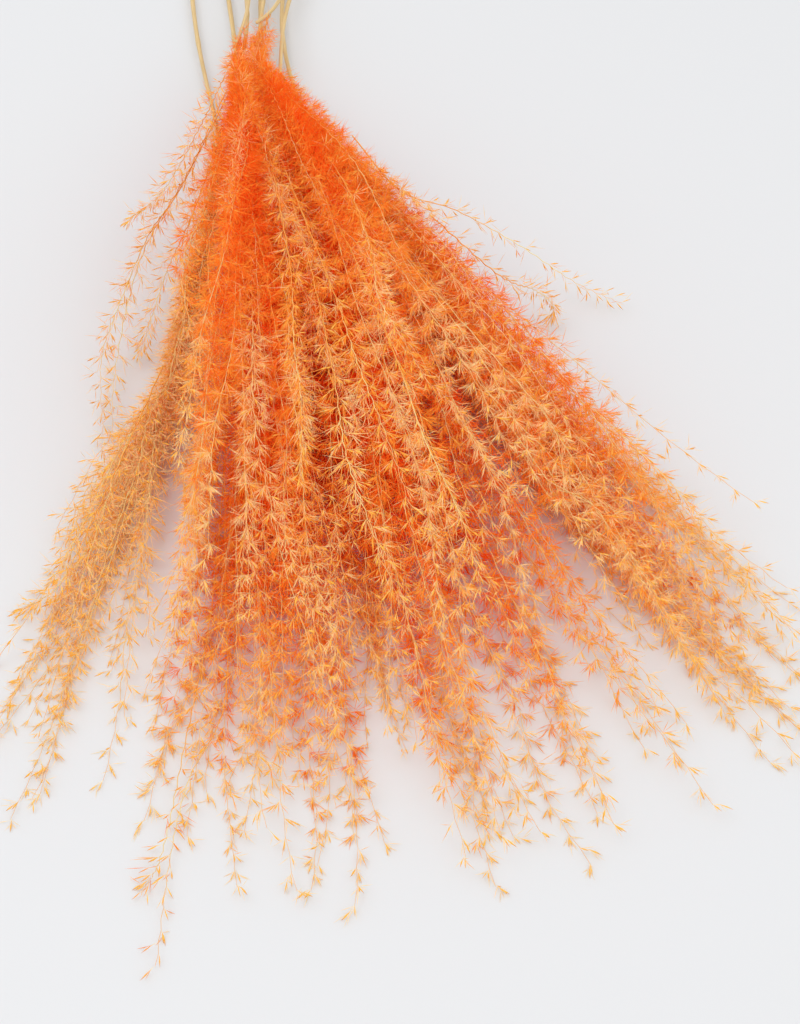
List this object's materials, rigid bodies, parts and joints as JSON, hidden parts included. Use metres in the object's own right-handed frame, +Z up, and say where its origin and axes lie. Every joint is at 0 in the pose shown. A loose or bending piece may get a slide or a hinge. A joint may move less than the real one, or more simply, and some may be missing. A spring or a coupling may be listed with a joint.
{
  "type": "bundle of dried pampas grass",
  "caption": "Loose bundle of dyed, dried grass plumes on bare straw stems, lying flat and spread like a fan, for floral and table decoration",
  "frame": {"origin": "middle of the underside of the bundle's overall box, on the surface it lies on", "axes": "+Z up from the surface, +Y along the bundle from the plume tips to the cut ends of the stems, +X across the fan to the right as seen from the tips"},
  "size_m": [0.3232, 0.7044, 0.0825],
  "materials": {
    "dyed_plume": "dyed orange dried strands with golden spikelets, rust-coloured tips and fine silky hairs",
    "straw_stem": "pale dry straw, fine lengthwise grain, satin"
  },
  "bodies": {
    "root": {"plume_01": "dyed_plume", "stem_01": "straw_stem", "plume_02": "dyed_plume", "stem_02": "straw_stem", "plume_03": "dyed_plume", "stem_03": "straw_stem", "plume_04": "dyed_plume", "stem_04": "straw_stem", "plume_05": "dyed_plume", "stem_05": "straw_stem", "plume_06": "dyed_plume", "stem_06": "straw_stem", "plume_07": "dyed_plume", "stem_07": "straw_stem", "plume_08": "dyed_plume", "stem_08": "straw_stem", "plume_09": "dyed_plume", "stem_09": "straw_stem"}
  },
  "joints": []
}
